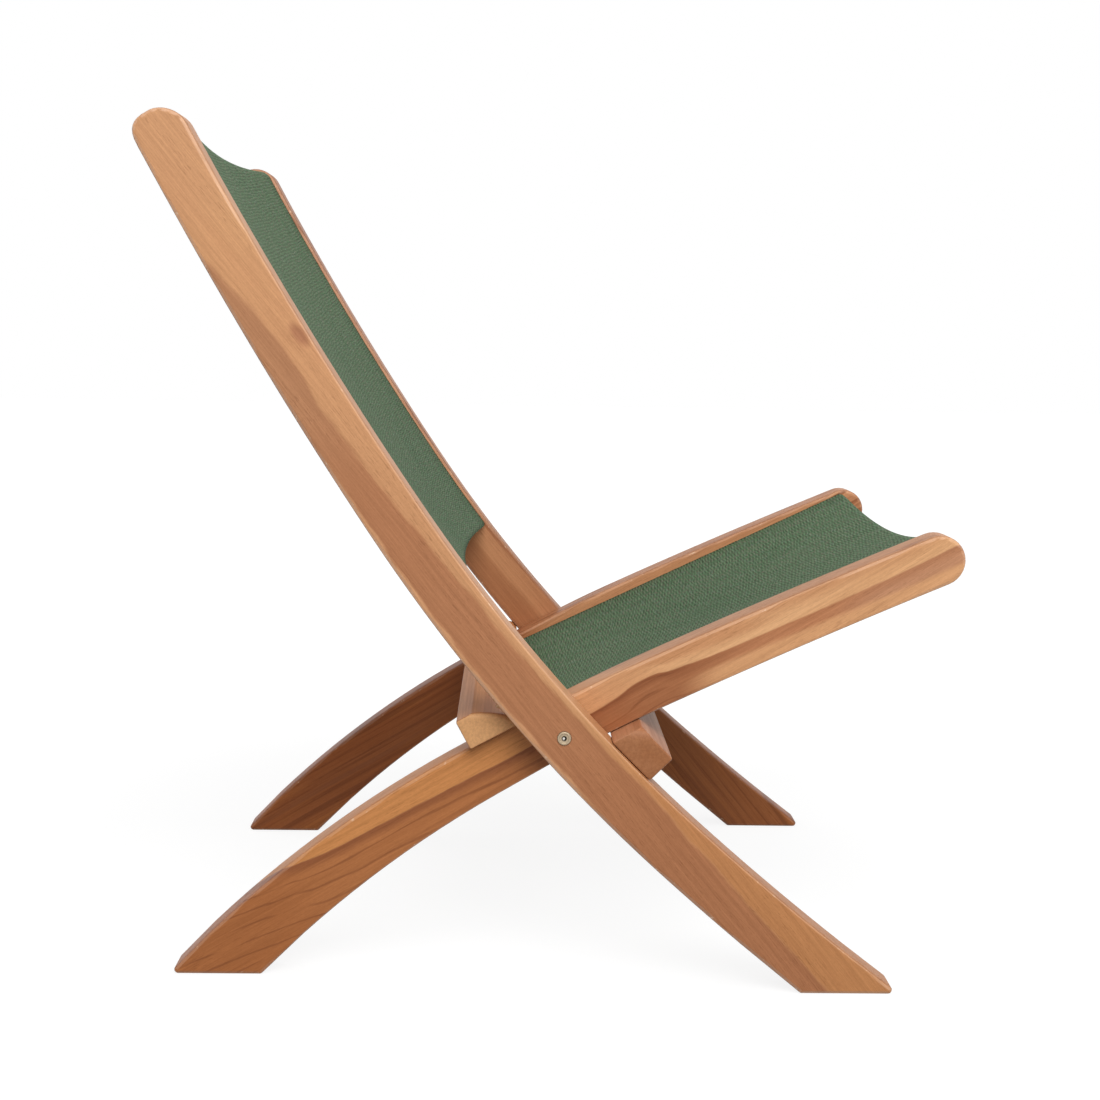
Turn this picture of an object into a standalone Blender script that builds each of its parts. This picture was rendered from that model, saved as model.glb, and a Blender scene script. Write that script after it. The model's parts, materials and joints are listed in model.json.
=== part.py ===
"""Folding lounge chair: two crossed hardwood frames that carry woven slings.

The back frame stands on the front feet and the seat frame on the rear feet. They turn on
two pivot bolts, and two stop bars wedge between the rails to hold the chair open.
+Z is up, the sitter faces -Y, and X runs across. The origin is on the floor, under the
middle of the chair. Side profiles are drawn in the Y-Z plane, from the pivot.
"""
import math

import bmesh
import bpy

# Sizes are in metres and angles in degrees.

# The whole chair
CHAIR_WIDTH = 0.540          # across the outer faces of the back rails
PIVOT_HEIGHT = 0.2277        # floor to the pivot axis
PIECE_GAP = 0.0003           # air between pieces that touch on the real chair
STOP_GAP = 0.0003            # air between a stop bar and the edge that it meets

# Rails of both frames
RAIL_THICKNESS = 0.033
RAIL_EASING = 0.0030         # radius worked on the long edges
TOE_RADIUS = 0.0035          # rounded corners of the feet
OUTLINE_STEP = 0.020         # spacing of the points along a curved edge
STRAIGHT_FOOT = 0.034        # height over the floor where an edge runs straight down

# Back rail: from its foot in front, through the pivot, to the top of the back
BACK_HEADING = 47.27         # slope of the centre line at the pivot
BACK_CENTRE_OFFSET = 0.0009  # centre line ahead of the pivot axis
BACK_REACH = 0.6275          # pivot to the round top end, along the centre line
BACK_MIDDLE_RADIUS = 1.565
BACK_MIDDLE_ABOVE = 0.235    # the middle bend's length above the pivot
BACK_MIDDLE_BELOW = 0.144    # the middle bend's length below the pivot
BACK_UPPER_RADIUS = 3.75
BACK_LEG_RADIUS = 2.64
BACK_TOP_WIDTH = 0.0450
BACK_PIVOT_WIDTH = 0.0517
BACK_FOOT_WIDTH = 0.0538
BACK_TAPER_UP = 0.562        # distance over which the rail narrows to the top
BACK_TAPER_DOWN = 0.345
BACK_END_FULLNESS = 3.0      # far half of the top end: 2 is round, more is squarer
BACK_END_FRONT_FULLNESS = 1.8    # sitter's half of it

# Seat rail: from its foot behind, through the pivot, to the front of the seat
SEAT_HEADING = 150.73
SEAT_CENTRE_OFFSET = -0.0003
SEAT_REACH = 0.3840
SEAT_BEND_RADIUS = 1.23      # short bend just in front of the pivot
SEAT_BEND_LENGTH = 0.082
SEAT_HIP_RADIUS = 7.94       # nearly straight just behind the pivot
SEAT_HIP_LENGTH = 0.0785
SEAT_FRONT_RADIUS = 6.90
SEAT_LEG_RADIUS = 1.03
SEAT_FRONT_WIDTH = 0.0446
SEAT_PIVOT_WIDTH = 0.0465
SEAT_FOOT_WIDTH = 0.0605
SEAT_TAPER_FRONT = 0.362
SEAT_TAPER_REAR = 0.385
SEAT_END_FULLNESS = 2.0
SEAT_END_FRONT_FULLNESS = 2.0

# Stop bars, one across each frame
STOP_BASE = 0.0475           # width of the face that lies on the rails
STOP_THICKNESS = 0.0280
STOP_EASING = 0.0020
FRONT_STOP_RECESS = 0.0025   # bar end inside the back rails' outer faces
REAR_STOP_RECESS = 0.0230
FRONT_DOME_RADIUS = 0.0467   # outline of the worked end face
FRONT_DOME_EASING = 0.0120
REAR_DOME_RADIUS = 0.0900
REAR_DOME_EASING = 0.0050

# Dowels that pin the stop bars to the rails
DOWEL_DIAMETER = 0.0080
DOWEL_LENGTH = 0.0360
DOWEL_SPACING = 0.0210
DOWEL_CHAMFER = 0.0010

# Slings
SLING_THICKNESS = 0.0012
GROOVE_DEPTH = 0.0100
SPLINE_THICKNESS = 0.0030
SPLINE_RECESS = 0.0012       # spline's face below the rail's inner face
BACK_SLING_DEPTH = 0.0044    # rail's sitter edge to the middle of the sling
BACK_SLING_INSET = 0.0170    # sling's top below the rail's round end
BACK_SLING_BOTTOM = 0.150    # along the back rail's centre line, from the pivot
BACK_SLING_SAG = 0.0120
SEAT_SLING_DEPTH_REAR = 0.0080
SEAT_SLING_DEPTH_FRONT = 0.0044
SEAT_SLING_INSET = 0.0200    # sling's front behind the rail's round end
SEAT_SLING_REAR = -0.042     # along the seat rail's centre line, from the pivot
SEAT_SLING_SAG = 0.0185

# Stretchers behind the slings, tenoned into the rails
STRETCHER_THICKNESS = 0.0150
STRETCHER_WIDTH = 0.0420
STRETCHER_SETBACK = 0.0015   # stretcher's face inside the rails' far edge
STRETCHER_EASING = 0.0025
STRETCHER_SCOOP = 0.0030     # hollow in the face under the sling
TENON_LENGTH = 0.0180
TENON_SHOULDER = 0.0035
BACK_STRETCHER_INSET = 0.107 # its middle, from the rail's round end
SEAT_STRETCHER_INSET = 0.066

# Pivot fittings
WASHER_THICKNESS = 0.0020
WASHER_DIAMETER = 0.0260
SLEEVE_DIAMETER = 0.0080
SLEEVE_LENGTH = 0.0540
BOLT_DIAMETER = 0.0060
BOLT_THREAD_LENGTH = 0.0400
HEAD_DIAMETER = 0.0122
HEAD_THICKNESS = 0.0014
HEAD_STAND = 0.0009          # head over the wood
HEAD_DISH_DIAMETER = 0.0076
HEAD_DISH_DEPTH = 0.0004
SOCKET_DIAMETER = 0.0042     # across the corners of the hexagon
SOCKET_DEPTH = 0.0026
PIVOT_CLEARANCE = 0.0004     # round the sleeve, in each rail

# Facets on curved forms
END_STEPS = 16
CORNER_STEPS = 4
EASING_STEPS = 2
ROUND_STEPS = 24
DOWEL_STEPS = 12
SLING_STEPS_ACROSS = 14
SLING_STEPS_ALONG = 14
SCOOP_STEPS = 256            # large flat arcs, so many facets to the turn
DOME_STEPS = 96
DOME_EDGE_STEPS = 5
SHARP_ANGLE = 30             # edges that turn more than this are eased

# Search for the places where two rails cross, from the pivot
SEARCH_STEP = 0.001
SEARCH_REACH = 0.150

RAIL_OUTER = CHAIR_WIDTH / 2
RAIL_SPACING = WASHER_THICKNESS + 2 * PIECE_GAP
BACK_INNER = RAIL_OUTER - RAIL_THICKNESS
SEAT_OUTER = BACK_INNER - RAIL_SPACING
SEAT_INNER = SEAT_OUTER - RAIL_THICKNESS
BACK_STRETCHER_AT = BACK_REACH - BACK_STRETCHER_INSET
SEAT_STRETCHER_AT = SEAT_REACH - SEAT_STRETCHER_INSET


# Small vector help in the Y-Z plane

def add(point, direction, amount):
    return (point[0] + direction[0] * amount, point[1] + direction[1] * amount)


def difference(a, b):
    return (a[0] - b[0], a[1] - b[1])


def dot(a, b):
    return a[0] * b[0] + a[1] * b[1]


def unit(vector):
    length = math.hypot(*vector)
    return (vector[0] / length, vector[1] / length)


def meet(point_a, direction_a, point_b, direction_b):
    """Where two lines of the Y-Z plane cross."""
    across = direction_a[0] * direction_b[1] - direction_a[1] * direction_b[0]
    gap = difference(point_b, point_a)
    amount = (gap[0] * direction_b[1] - gap[1] * direction_b[0]) / across
    return add(point_a, direction_a, amount)


def rounded_corner(before, corner, after, radius, steps):
    """Points of an arc that rounds a corner between two straight edges."""
    to_before = unit(difference(before, corner))
    to_after = unit(difference(after, corner))
    half = math.acos(dot(to_before, to_after)) / 2
    bisector = unit(add(to_before, to_after, 1))
    centre = add(corner, bisector, radius / math.sin(half))
    first = difference(add(corner, to_before, radius / math.tan(half)), centre)
    last = difference(add(corner, to_after, radius / math.tan(half)), centre)
    start = math.atan2(first[1], first[0])
    turn = math.atan2(last[1], last[0]) - start
    turn = (turn + math.pi) % (2 * math.pi) - math.pi
    points = []
    for step in range(steps + 1):
        angle = start + turn * step / steps
        points.append((centre[0] + radius * math.cos(angle), centre[1] + radius * math.sin(angle)))
    return points


class RailLine:
    """Centre line of a rail, measured from the pivot, with its changing width."""

    def __init__(self, heading, offset, ahead, behind, widths, sitter_side):
        self.heading = math.radians(heading)
        self.offset = offset
        self.ahead = ahead
        self.behind = behind
        self.widths = widths
        self.sitter_side = sitter_side

    def at(self, distance):
        """Point, direction and sitter-side normal of the centre line."""
        angle = self.heading
        normal = (-math.sin(angle), math.cos(angle))
        point = (normal[0] * self.offset, normal[1] * self.offset)
        sign = 1 if distance >= 0 else -1
        left = abs(distance)
        for length, radius in (self.ahead if distance >= 0 else self.behind):
            run = min(left, length) * sign
            turned = angle + run / radius
            point = (point[0] + radius * (math.sin(turned) - math.sin(angle)),
                     point[1] - radius * (math.cos(turned) - math.cos(angle)))
            angle = turned
            left -= abs(run)
        side = self.sitter_side
        normal = (-math.sin(angle) * side, math.cos(angle) * side)
        return point, (math.cos(angle), math.sin(angle)), normal

    def width(self, distance):
        behind, ahead = self.widths[0], self.widths[2]
        near = self.widths[1][1]
        end, narrow = ahead if distance >= 0 else behind
        share = min(distance / end, 1)
        return near + (narrow - near) * share

    def edge(self, distance, side):
        """A point of the sitter's edge (side 1) or the far edge (side -1)."""
        point, _, normal = self.at(distance)
        return add(point, normal, side * self.width(distance) / 2)

    def inside(self, distance, depth):
        """A point at a depth behind the sitter's edge."""
        point, _, normal = self.at(distance)
        return add(point, normal, self.width(distance) / 2 - depth)


BACK_LINE = RailLine(
    BACK_HEADING, BACK_CENTRE_OFFSET,
    ahead=((BACK_MIDDLE_ABOVE, BACK_MIDDLE_RADIUS), (math.inf, BACK_UPPER_RADIUS)),
    behind=((BACK_MIDDLE_BELOW, BACK_MIDDLE_RADIUS), (math.inf, BACK_LEG_RADIUS)),
    widths=((-BACK_TAPER_DOWN, BACK_FOOT_WIDTH), (0, BACK_PIVOT_WIDTH), (BACK_TAPER_UP, BACK_TOP_WIDTH)),
    sitter_side=1)
SEAT_LINE = RailLine(
    SEAT_HEADING, SEAT_CENTRE_OFFSET,
    ahead=((SEAT_BEND_LENGTH, SEAT_BEND_RADIUS), (math.inf, SEAT_FRONT_RADIUS)),
    behind=((SEAT_HIP_LENGTH, SEAT_HIP_RADIUS), (math.inf, SEAT_LEG_RADIUS)),
    widths=((-SEAT_TAPER_REAR, SEAT_FOOT_WIDTH), (0, SEAT_PIVOT_WIDTH), (SEAT_TAPER_FRONT, SEAT_FRONT_WIDTH)),
    sitter_side=-1)


def foot_edge(line, side, floor):
    """Distances down an edge to where it runs straight, and its corner on the floor."""
    distances = []
    distance = 0.0
    while line.edge(distance, side)[1] > floor + STRAIGHT_FOOT:
        distances.append(distance)
        distance -= OUTLINE_STEP
    last = line.edge(distances[-1], side)
    beyond = distances[-1]
    while line.edge(beyond, side)[1] > floor:
        beyond -= OUTLINE_STEP
    before = beyond + OUTLINE_STEP
    above, below = line.edge(before, side), line.edge(beyond, side)
    share = (above[1] - floor) / (above[1] - below[1])
    corner = (above[0] + (below[0] - above[0]) * share, floor)
    return distances, last, corner


def rail_outline(line, reach, far_fullness, sitter_fullness):
    """Closed side outline of a rail: flat foot, two long curves and a round end."""
    floor = -PIVOT_HEIGHT
    sitter_distances, sitter_last, sitter_corner = foot_edge(line, 1, floor)
    far_distances, far_last, far_corner = foot_edge(line, -1, floor)
    round_centre = reach - line.width(reach) / 2
    count = max(2, round(round_centre / OUTLINE_STEP))
    upper = [round_centre * step / count for step in range(1, count + 1)]
    outline = rounded_corner(far_last, far_corner, sitter_corner, TOE_RADIUS, CORNER_STEPS)
    outline += rounded_corner(far_corner, sitter_corner, sitter_last, TOE_RADIUS, CORNER_STEPS)
    outline += [line.edge(distance, 1) for distance in reversed(sitter_distances)]
    outline += [line.edge(distance, 1) for distance in upper]
    centre, direction, normal = line.at(round_centre)
    radius = line.width(round_centre) / 2
    for step in range(1, END_STEPS):
        angle = math.pi * step / END_STEPS
        across, along = math.cos(angle), math.sin(angle)
        fullness = sitter_fullness if across > 0 else far_fullness
        across = math.copysign(abs(across) ** (2 / fullness), across)
        along = along ** (2 / fullness)
        point = add(centre, normal, radius * across)
        outline.append(add(point, direction, radius * along))
    outline += [line.edge(distance, -1) for distance in reversed(upper)]
    outline += [line.edge(distance, -1) for distance in far_distances]
    return outline


class Seam:
    """The line in a rail's inner face along which a sling's edge is held."""

    def __init__(self, line, first, last, first_depth, last_depth, straight):
        self.line = line
        self.first = first
        self.last = last
        self.depths = (first_depth, last_depth)
        self.straight = straight

    def at(self, distance, behind=0.0):
        """A point of the seam, or a point that far behind it, away from the sitter."""
        share = (distance - self.first) / (self.last - self.first)
        depth = self.depths[0] + (self.depths[1] - self.depths[0]) * share
        if not self.straight:
            return self.line.inside(distance, depth + behind)
        start = self.line.inside(self.first, self.depths[0])
        way = difference(self.line.inside(self.last, self.depths[1]), start)
        away = unit((way[1], -way[0]))
        if dot(away, self.line.at(distance)[2]) > 0:
            away = (-away[0], -away[1])
        return add(add(start, way, share), away, behind)


BACK_SEAM = Seam(BACK_LINE, BACK_SLING_BOTTOM, BACK_REACH - BACK_SLING_INSET,
                 BACK_SLING_DEPTH, BACK_SLING_DEPTH, straight=False)
SEAT_SEAM = Seam(SEAT_LINE, SEAT_SLING_REAR, SEAT_REACH - SEAT_SLING_INSET,
                 SEAT_SLING_DEPTH_REAR, SEAT_SLING_DEPTH_FRONT, straight=True)
BACK_OUTLINE = rail_outline(BACK_LINE, BACK_REACH, BACK_END_FULLNESS, BACK_END_FRONT_FULLNESS)
SEAT_OUTLINE = rail_outline(SEAT_LINE, SEAT_REACH, SEAT_END_FULLNESS, SEAT_END_FRONT_FULLNESS)
DEPTHS = [point[0] for point in BACK_OUTLINE + SEAT_OUTLINE]
PIVOT_Y = -(min(DEPTHS) + max(DEPTHS)) / 2


def world(x, point):
    return (x, PIVOT_Y + point[0], PIVOT_HEIGHT + point[1])


# Building blocks

def clear_scene():
    for item in list(bpy.data.objects):
        bpy.data.objects.remove(item, do_unlink=True)


def make_material(name, colour, roughness, metallic=0.0):
    material = bpy.data.materials.new(name)
    material.use_nodes = True
    shader = material.node_tree.nodes["Principled BSDF"]
    shader.inputs["Base Color"].default_value = (*colour, 1.0)
    shader.inputs["Roughness"].default_value = roughness
    shader.inputs["Metallic"].default_value = metallic
    return material


def object_from(bm, name, material=None):
    bmesh.ops.recalc_face_normals(bm, faces=bm.faces)
    mesh = bpy.data.meshes.new(name)
    bm.to_mesh(mesh)
    bm.free()
    item = bpy.data.objects.new(name, mesh)
    bpy.context.scene.collection.objects.link(item)
    if material:
        mesh.materials.append(material)
    return item


def smooth(item, angle=35):
    item.data.shade_smooth()
    item.data.set_sharp_from_angle(angle=math.radians(angle))


def cut(item, cutter, operation="DIFFERENCE"):
    cutter.hide_render = True
    cutter.display_type = "WIRE"
    modifier = item.modifiers.new(cutter.name, "BOOLEAN")
    modifier.operation = operation
    modifier.object = cutter
    modifier.solver = "EXACT"


def prism(outline, x_from, x_to):
    """A side outline extruded across the chair."""
    bm = bmesh.new()
    face = bm.faces.new([bm.verts.new(world(x_from, point)) for point in outline])
    extruded = bmesh.ops.extrude_face_region(bm, geom=[face])["geom"]
    moved = [vertex for vertex in extruded if isinstance(vertex, bmesh.types.BMVert)]
    bmesh.ops.translate(bm, verts=moved, vec=(x_to - x_from, 0, 0))
    return bm


def ease(bm, radius, keep_long=False):
    """Rounds the edges round a prism's two flat sides, and its long corners if wanted."""
    picked = []
    for edge in bm.edges:
        along_x = abs(edge.verts[0].co.x - edge.verts[1].co.x) > radius
        if not along_x or keep_long:
            if edge.calc_face_angle(0) > math.radians(SHARP_ANGLE):
                picked.append(edge)
    bmesh.ops.bevel(bm, geom=picked, offset=radius, segments=EASING_STEPS, profile=0.5,
                    affect="EDGES", clamp_overlap=True)


def turned(profile, steps, origin, axis):
    """A profile of (radius, distance) pairs turned round an axis through origin."""
    along = (axis[0], axis[1], axis[2])
    if abs(along[0]) > 0.5:
        side = (0.0, 1.0, 0.0)
    else:
        side = (1.0, 0.0, 0.0)
    third = (along[1] * side[2] - along[2] * side[1],
             along[2] * side[0] - along[0] * side[2],
             along[0] * side[1] - along[1] * side[0])
    bm = bmesh.new()
    rings = []
    for radius, distance in profile:
        centre = [origin[i] + along[i] * distance for i in range(3)]
        if radius == 0:
            rings.append([bm.verts.new(centre)])
            continue
        ring = []
        for step in range(steps):
            angle = 2 * math.pi * step / steps
            spoke = [side[i] * math.cos(angle) + third[i] * math.sin(angle) for i in range(3)]
            ring.append(bm.verts.new([centre[i] + spoke[i] * radius for i in range(3)]))
        rings.append(ring)
    for low, high in zip(rings, rings[1:]):
        for step in range(steps):
            after = (step + 1) % steps
            if len(low) == 1:
                bm.faces.new((low[0], high[step], high[after]))
            elif len(high) == 1:
                bm.faces.new((low[step], low[after], high[0]))
            else:
                bm.faces.new((low[step], low[after], high[after], high[step]))
    return bm


def strip(seam, grow, behind_from, behind_to, x_from, x_to):
    """A bar along a seam, between two depths behind it and longer than it at both ends by grow."""
    first, last = seam.first - grow, seam.last + grow
    count = 1 if seam.straight else round((last - first) / OUTLINE_STEP)
    distances = [first + (last - first) * step / count for step in range(count + 1)]
    outline = [seam.at(distance, behind_from) for distance in distances]
    outline += [seam.at(distance, behind_to) for distance in reversed(distances)]
    return prism(outline, x_from, x_to)


# Rails

# Depths behind the middle of the sling
GROOVE_FRONT = -SLING_THICKNESS / 2 - PIECE_GAP
SPLINE_FRONT = SLING_THICKNESS / 2 + PIECE_GAP
SPLINE_BACK = SPLINE_FRONT + SPLINE_THICKNESS
GROOVE_BACK = SPLINE_BACK + PIECE_GAP


def stretcher_section(line, at, grow=0.0, shoulder=0.0):
    """Cross-section of a stretcher near the far edge of a rail, as four corners."""
    point, direction, normal = line.at(at)
    low = STRETCHER_SETBACK - line.width(at) / 2 + shoulder - grow
    high = STRETCHER_SETBACK - line.width(at) / 2 + STRETCHER_THICKNESS - shoulder + grow
    half = STRETCHER_WIDTH / 2 - 2 * shoulder + grow
    corners = []
    for along, across in ((-half, low), (half, low), (half, high), (-half, high)):
        corners.append(add(add(point, direction, along), normal, across))
    return corners


def pivot_bore(x, way, overshoot):
    """The hole through a rail for the sleeve, with a shallow seat for a head at its end."""
    radius = SLEEVE_DIAMETER / 2 + PIVOT_CLEARANCE
    seat = HEAD_DIAMETER / 2 + PIECE_GAP
    floor = RAIL_THICKNESS - (HEAD_THICKNESS - HEAD_STAND + PIECE_GAP)
    end = RAIL_THICKNESS + overshoot
    profile = ((0, -overshoot), (radius, -overshoot), (radius, floor), (seat, floor), (seat, end), (0, end))
    return turned(profile, ROUND_STEPS, world(x, (0, 0)), (way, 0, 0))


def make_rail(name, line, outline, outer, side, head_side, seam, stretcher_at, wood):
    """One rail, with its sling groove, pivot hole and stretcher mortise."""
    inner = outer - RAIL_THICKNESS
    bm = prism(outline, side * inner, side * outer)
    bmesh.ops.recalc_face_normals(bm, faces=bm.faces)
    ease(bm, RAIL_EASING)
    rail = object_from(bm, name, wood)
    overshoot = 0.002
    groove = strip(seam, PIECE_GAP, GROOVE_FRONT, GROOVE_BACK,
                   side * (inner - overshoot), side * (inner + GROOVE_DEPTH))
    cut(rail, object_from(groove, name + "_groove_cutter"))
    hole = pivot_bore(side * (inner if head_side > 0 else outer), side * head_side, overshoot)
    cut(rail, object_from(hole, name + "_pivot_cutter"))
    mortise = prism(stretcher_section(line, stretcher_at, PIECE_GAP, TENON_SHOULDER),
                    side * (inner - overshoot), side * (inner + TENON_LENGTH + PIECE_GAP))
    cut(rail, object_from(mortise, name + "_mortise_cutter"))
    smooth(rail)
    return rail


def make_stretcher(name, line, at, inner, wood):
    """A flat bar between two rails, scooped under the sling, with a tenon on each end."""
    half = inner - PIECE_GAP
    bm = prism(stretcher_section(line, at), -half, half)
    bmesh.ops.recalc_face_normals(bm, faces=bm.faces)
    ease(bm, STRETCHER_EASING, keep_long=True)
    bar = object_from(bm, name, wood)
    for side in (-1, 1):
        bm = prism(stretcher_section(line, at, 0.0, TENON_SHOULDER),
                   side * (half - TENON_LENGTH), side * (inner + TENON_LENGTH))
        cut(bar, object_from(bm, f"{name}_tenon_{side}"), "UNION")
    point, direction, normal = line.at(at)
    face = STRETCHER_SETBACK - line.width(at) / 2 + STRETCHER_THICKNESS
    reach = half - STRETCHER_THICKNESS
    radius = (reach ** 2 + STRETCHER_SCOOP ** 2) / (2 * STRETCHER_SCOOP)
    centre = add(point, normal, face - STRETCHER_SCOOP + radius)
    spread = STRETCHER_WIDTH
    first = world(0, add(centre, direction, -spread))
    scoop = turned(((0, 0), (radius, 0), (radius, 2 * spread), (0, 2 * spread)), SCOOP_STEPS,
                   first, (0, direction[0], direction[1]))
    cut(bar, object_from(scoop, name + "_scoop_cutter"))
    smooth(bar)
    return bar


# Stop bars

def nearest(line, point, side):
    """Distance along a rail where an edge, or for side 0 its centre, is nearest to a point."""
    count = round(SEARCH_REACH / SEARCH_STEP)
    distances = [step * SEARCH_STEP for step in range(-count, count + 1)]
    return min(distances, key=lambda distance: math.dist(point, line.edge(distance, side)))


def crossing(line_a, side_a, towards, line_b, side_b):
    """Distance along rail A, on one side of the pivot, where its edge crosses an edge of rail B."""
    low, high = 0, towards * SEARCH_REACH

    def beyond(distance):
        point = line_a.edge(distance, side_a)
        foot = nearest(line_b, point, 0)
        centre, _, normal = line_b.at(foot)
        return dot(difference(point, centre), normal) * side_b - line_b.width(foot) / 2

    for _ in range(30):
        middle = (low + high) / 2
        if (beyond(low) > 0) == (beyond(middle) > 0):
            low = middle
        else:
            high = middle
    return low


def clear_line(line, side, first, last, gap):
    """A straight line over a stretch of an edge, clear of its highest point by a gap."""
    start, end = line.edge(first, side), line.edge(last, side)
    direction = unit(difference(end, start))
    _, _, normal = line.at((first + last) / 2)
    outward = (direction[1], -direction[0])
    if dot(outward, normal) * side < 0:
        outward = (-outward[0], -outward[1])
    steps = 12
    points = [line.edge(first + (last - first) * step / steps, side) for step in range(steps + 1)]
    highest = max(dot(difference(point, start), outward) for point in points)
    return add(start, outward, highest + gap), direction, outward


def stop_section(carrier, carrier_side, towards, stopped, stopped_side):
    """Corners of a stop bar: base on its carrier, bevel under the rail that it stops."""
    start = crossing(carrier, carrier_side, towards, stopped, stopped_side)
    base_point, base_way, base_out = clear_line(
        carrier, carrier_side, start, start + towards * STOP_BASE, PIECE_GAP)
    contact = nearest(stopped, base_point, stopped_side)
    run = STOP_THICKNESS if dot(stopped.at(contact)[1], base_out) > 0 else -STOP_THICKNESS
    bevel_point, bevel_way, _ = clear_line(stopped, stopped_side, contact, contact + run, STOP_GAP)
    corner = meet(base_point, base_way, bevel_point, bevel_way)
    ridge = meet(add(base_point, base_out, STOP_THICKNESS), base_way, bevel_point, bevel_way)
    heel = add(corner, base_way, STOP_BASE)
    shoulder = add(heel, base_out, STOP_THICKNESS)
    return (corner, heel, shoulder, ridge), base_way, base_out


def dowel_places(corner, base_way):
    middle = add(corner, base_way, STOP_BASE / 2)
    return [add(middle, base_way, offset * DOWEL_SPACING / 2) for offset in (-1, 1)]


def dowel(place, outward, x, grow=0.0):
    """A chamfered pin across the joint between a stop bar and a rail."""
    radius = DOWEL_DIAMETER / 2 + grow
    half = DOWEL_LENGTH / 2 + grow
    chamfer = DOWEL_CHAMFER
    profile = ((0, -half), (radius - chamfer, -half), (radius, chamfer - half),
               (radius, half - chamfer), (radius - chamfer, half), (0, half))
    return turned(profile, DOWEL_STEPS, world(x, place), (0, outward[0], outward[1]))


def end_dome(section, half, radius, easing):
    """A turned body that rounds the ends of a stop bar between its outer corners."""
    corner, _, shoulder, _ = section
    middle = add(corner, difference(shoulder, corner), 0.5)
    chord = difference(shoulder, corner)
    reach = math.hypot(*chord) / 2
    across = unit((chord[1], -chord[0]))
    if dot(across, difference(section[3], middle)) > 0:
        across = (-across[0], -across[1])
    centre = add(middle, across, math.sqrt(max(radius ** 2 - reach ** 2, 0)))
    profile = [(0, -half)]
    for step in range(DOME_EDGE_STEPS + 1):
        angle = math.pi / 2 * step / DOME_EDGE_STEPS
        profile.append((radius + easing * math.sin(angle), -half + easing * (1 - math.cos(angle))))
    profile += [(r, -d) for r, d in reversed(profile[1:])]
    profile.append((0, half))
    return turned(profile, DOME_STEPS, world(0, centre), (1, 0, 0))


def make_stop_bar(name, carrier_rails, shape, half, rail_middle, dome, wood, pin_wood):
    """A stop bar with its dowels, and the dowel holes in the bar and in its rails."""
    section, base_way, base_out = shape
    bm = prism(section, -half, half)
    bmesh.ops.recalc_face_normals(bm, faces=bm.faces)
    ease(bm, STOP_EASING, keep_long=True)
    bar = object_from(bm, name, wood)
    cut(bar, object_from(end_dome(section, half, *dome), name + "_end_shape"), "INTERSECT")
    for side_name, side, rail in carrier_rails:
        for number, place in enumerate(dowel_places(section[0], base_way), 1):
            x = side * rail_middle
            pin = object_from(dowel(place, base_out, x), f"{name}_dowel_{side_name}_{number}", pin_wood)
            smooth(pin)
            hole = object_from(dowel(place, base_out, x, PIECE_GAP), f"{name}_hole_{side_name}_{number}")
            cut(bar, hole)
            cut(rail, hole)
    smooth(bar)
    return bar


# Slings and their splines

def make_sling(name, seam, inner, sag, fabric):
    """A sling that hangs between two rails, with its side edges in their grooves."""
    edge = inner + GROOVE_DEPTH - 2 * PIECE_GAP
    stations = [-edge]
    for step in range(SLING_STEPS_ACROSS + 1):
        stations.append(-inner + 2 * inner * step / SLING_STEPS_ACROSS)
    stations.append(edge)
    bm = bmesh.new()
    rows = []
    for step in range(SLING_STEPS_ALONG + 1):
        distance = seam.first + (seam.last - seam.first) * step / SLING_STEPS_ALONG
        row = []
        for x in stations:
            drop = sag * max(0.0, 1 - (x / inner) ** 2)
            row.append(bm.verts.new(world(x, seam.at(distance, drop))))
        rows.append(row)
    for low, high in zip(rows, rows[1:]):
        for i in range(len(stations) - 1):
            bm.faces.new((low[i], low[i + 1], high[i + 1], high[i]))
    sling = object_from(bm, name, fabric)
    sheet = sling.modifiers.new("thickness", "SOLIDIFY")
    sheet.thickness = SLING_THICKNESS
    sheet.offset = 0
    smooth(sling)
    return sling


def make_spline(name, seam, inner, side, plastic):
    """The strip that is pressed into the groove behind a sling's edge."""
    bm = strip(seam, -PIECE_GAP, SPLINE_FRONT, SPLINE_BACK,
               side * (inner + SPLINE_RECESS), side * (inner + GROOVE_DEPTH - 2 * PIECE_GAP))
    return object_from(bm, name, plastic)


# Pivot fittings

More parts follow.
